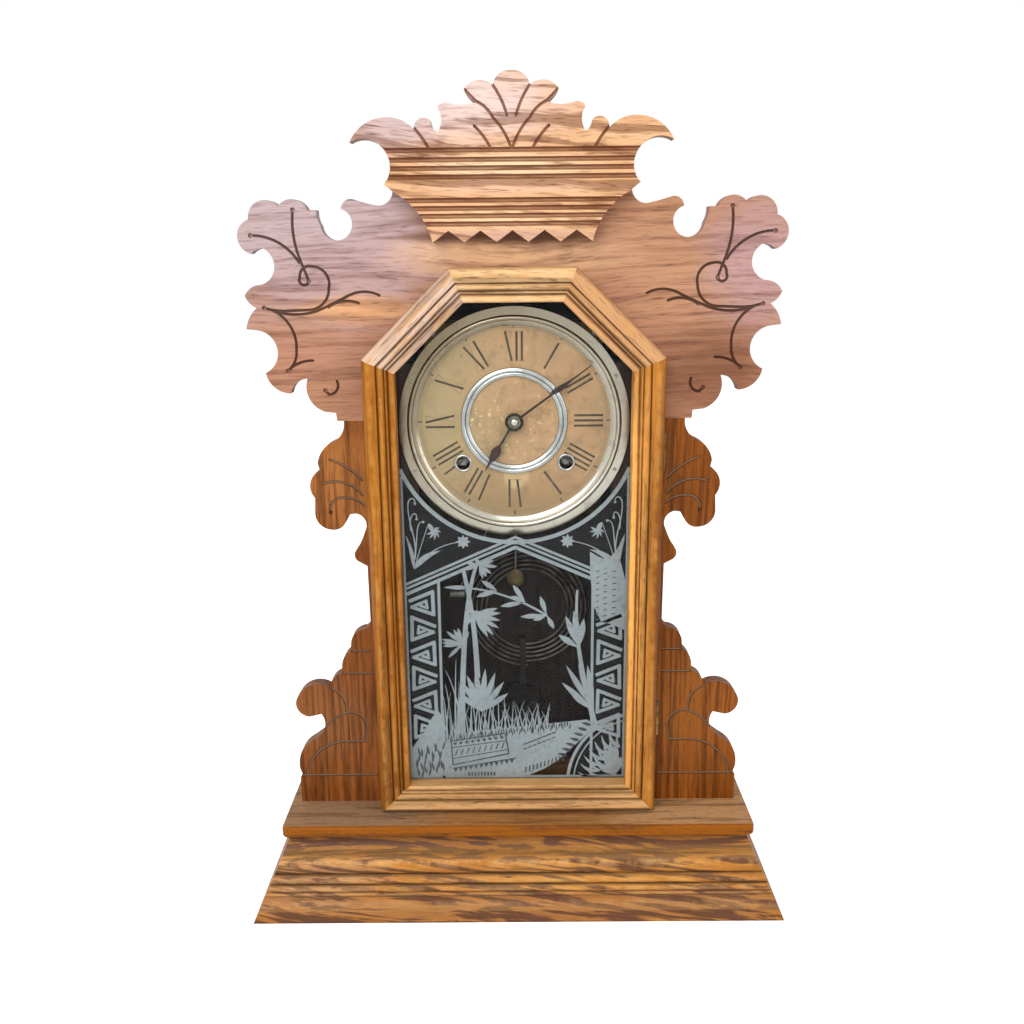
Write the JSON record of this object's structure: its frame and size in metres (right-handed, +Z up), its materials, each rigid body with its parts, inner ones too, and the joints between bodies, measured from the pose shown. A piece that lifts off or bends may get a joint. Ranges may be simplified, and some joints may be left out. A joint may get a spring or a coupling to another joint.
{
  "type": "mantel clock",
  "caption": "Carved gingerbread kitchen clock: flared wooden case, six-sided glazed door on hinges, round dial with hands, wheel trains, short pendulum and coiled gong.",
  "frame": {"origin": "on the floor, midway across the base and midway between the front of the base and the back of the case", "axes": "+Z up, -Y out of the dial, +X to the right of someone who looks at the dial"},
  "size_m": [0.3708, 0.126, 0.5595],
  "materials": {
    "case_oak": "old golden oak varnish, satin",
    "door_oak": "old golden oak varnish, satin",
    "case_softwood": "dark stained softwood",
    "raw_softwood": "raw, aged softwood",
    "tablet_glass": "old flat glass, printed from behind",
    "putty": "dry putty",
    "dial_print": "aged printed paper",
    "zinc": "dull zinc",
    "nickel": "worn nickel plate",
    "brass": "aged rolled brass",
    "steel": "drawn steel",
    "blued_steel": "blued steel",
    "gong_steel": "dark tempered steel wire",
    "iron": "black japanned iron",
    "screw_steel": "plain steel"
  },
  "bodies": {
    "case": {"deck_board": "case_oak", "base_front_moulding": "case_oak", "base_side_left": "case_oak", "base_side_right": "case_oak", "top_board": "case_oak", "side_board_left": "case_oak", "side_board_right": "case_oak", "crown_board": "case_oak", "case_side_left": "case_softwood", "case_side_right": "case_softwood", "case_top": "case_softwood", "back_board": "raw_softwood", "glue_blocks": "raw_softwood", "case_battens": "raw_softwood", "hinge_case_leaves": "brass", "hinge_pins": "steel", "door_catch": "brass", "dial_pan": "zinc", "dial_paper": "dial_print", "dial_bezel": "nickel", "dial_inner_ring": "nickel", "winding_grommets": "brass", "dial_tacks": "steel", "front_plate": "brass", "back_plate": "brass", "plate_pillars": "steel", "wood_screws": "screw_steel", "mainsprings": "steel", "gong_coil": "gong_steel", "gong_stand": "iron"},
    "door": {"door_stile_left": "door_oak", "door_stile_right": "door_oak", "door_rail_bottom": "door_oak", "door_rail_top": "door_oak", "door_diagonal_left": "door_oak", "door_diagonal_right": "door_oak", "door_glass": "tablet_glass", "glazing_putty": "putty", "hinge_door_leaves": "brass"},
    "minute": {"centre_arbor": "brass", "minute_hand": "blued_steel", "hand_nut": "brass"},
    "hour": {"hour_wheel": "brass", "hour_hand": "blued_steel"},
    "minute_wheel_body": {"minute_wheel": "brass"},
    "time_great": {"time_great_wheel": "brass"},
    "time_winding": {"time_winding_arbor": "steel"},
    "second": {"second_wheel": "brass"},
    "third": {"third_wheel": "brass"},
    "escape": {"escape_wheel": "brass"},
    "verge_body": {"verge": "steel"},
    "pendulum": {"pendulum_rod": "steel", "pendulum_bob": "brass"},
    "strike_great": {"strike_great_wheel": "brass"},
    "strike_winding": {"strike_winding_arbor": "steel"},
    "strike_second": {"strike_second_wheel": "brass"},
    "strike_third": {"strike_third_wheel": "brass"},
    "warning": {"warning_wheel": "brass"},
    "fly_body": {"fly": "brass"},
    "hammer_body": {"hammer": "steel"}
  },
  "joints": [
    {"name": "door_hinge", "type": "hinge", "parent": "case", "child": "door", "pos_m": [0.1002, -0.0079, 0], "axis": [0, 0, 1], "range_deg": [0, 100]},
    {"name": "minute_turn", "type": "hinge", "parent": "case", "child": "minute", "pos_m": [0, 0.03, 0.3431], "axis": [0, 1, 0], "continuous": true},
    {"name": "hour_turn", "type": "hinge", "parent": "case", "child": "hour", "pos_m": [0, 0.03, 0.3431], "axis": [0, 1, 0], "continuous": true},
    {"name": "minute_wheel_turn", "type": "hinge", "parent": "case", "child": "minute_wheel_body", "pos_m": [0, 0.03, 0.3251], "axis": [0, 1, 0], "continuous": true},
    {"name": "time_great_turn", "type": "hinge", "parent": "case", "child": "time_great", "pos_m": [0.035, 0.03, 0.3146], "axis": [0, 1, 0], "continuous": true},
    {"name": "time_winding", "type": "hinge", "parent": "time_great", "child": "time_winding", "pos_m": [0.035, 0.03, 0.3146], "axis": [0, 1, 0], "range_deg": [-1620, 0]},
    {"name": "second_turn", "type": "hinge", "parent": "case", "child": "second", "pos_m": [0.02249, 0.03, 0.34836], "axis": [0, 1, 0], "continuous": true},
    {"name": "third_turn", "type": "hinge", "parent": "case", "child": "third", "pos_m": [0, 0.03, 0.3629], "axis": [0, 1, 0], "continuous": true},
    {"name": "escape_turn", "type": "hinge", "parent": "case", "child": "escape", "pos_m": [0.012, 0.03, 0.37865], "axis": [0, 1, 0], "continuous": true},
    {"name": "pendulum_swing", "type": "hinge", "parent": "case", "child": "pendulum", "pos_m": [0, 0.05, 0.4009], "axis": [0, 1, 0], "range_deg": [-4, 4]},
    {"name": "verge_rock", "type": "hinge", "parent": "case", "child": "verge_body", "pos_m": [0, 0.03, 0.39286], "axis": [0, 1, 0], "range_deg": [-5.2, 5.2]},
    {"name": "strike_third_turn", "type": "hinge", "parent": "case", "child": "strike_third", "pos_m": [-0.03332, 0.03, 0.36843], "axis": [0, 1, 0], "continuous": true},
    {"name": "strike_second_turn", "type": "hinge", "parent": "case", "child": "strike_second", "pos_m": [-0.04432, 0.03, 0.34937], "axis": [0, 1, 0], "continuous": true},
    {"name": "strike_great_turn", "type": "hinge", "parent": "case", "child": "strike_great", "pos_m": [-0.035, 0.03, 0.3146], "axis": [0, 1, 0], "continuous": true},
    {"name": "strike_winding", "type": "hinge", "parent": "strike_great", "child": "strike_winding", "pos_m": [-0.035, 0.03, 0.3146], "axis": [0, 1, 0], "range_deg": [-1620, 0]},
    {"name": "warning_turn", "type": "hinge", "parent": "case", "child": "warning", "pos_m": [-0.03019, 0.03, 0.38615], "axis": [0, 1, 0], "continuous": true},
    {"name": "fly_turn", "type": "hinge", "parent": "case", "child": "fly_body", "pos_m": [-0.01541, 0.03, 0.39011], "axis": [0, 1, 0], "continuous": true},
    {"name": "hammer_lift", "type": "hinge", "parent": "case", "child": "hammer_body", "pos_m": [-0.0146, 0.03, 0.28], "axis": [0, 1, 0], "range_deg": [0, 8]}
  ],
  "couplings": [
    {"joint": "hour_turn", "follows": "minute_turn", "ratio": 0.083333},
    {"joint": "minute_wheel_turn", "follows": "minute_turn", "ratio": -0.33333},
    {"joint": "second_turn", "follows": "minute_turn", "ratio": -0.16667},
    {"joint": "time_great_turn", "follows": "minute_turn", "ratio": 0.02381},
    {"joint": "third_turn", "follows": "minute_turn", "ratio": -10},
    {"joint": "escape_turn", "follows": "minute_turn", "ratio": 100},
    {"joint": "verge_rock", "follows": "pendulum_swing", "ratio": 1.268},
    {"joint": "strike_second_turn", "follows": "strike_third_turn", "ratio": -0.11111},
    {"joint": "strike_great_turn", "follows": "strike_third_turn", "ratio": 0.015873},
    {"joint": "warning_turn", "follows": "strike_third_turn", "ratio": -8},
    {"joint": "fly_turn", "follows": "strike_third_turn", "ratio": 60}
  ]
}
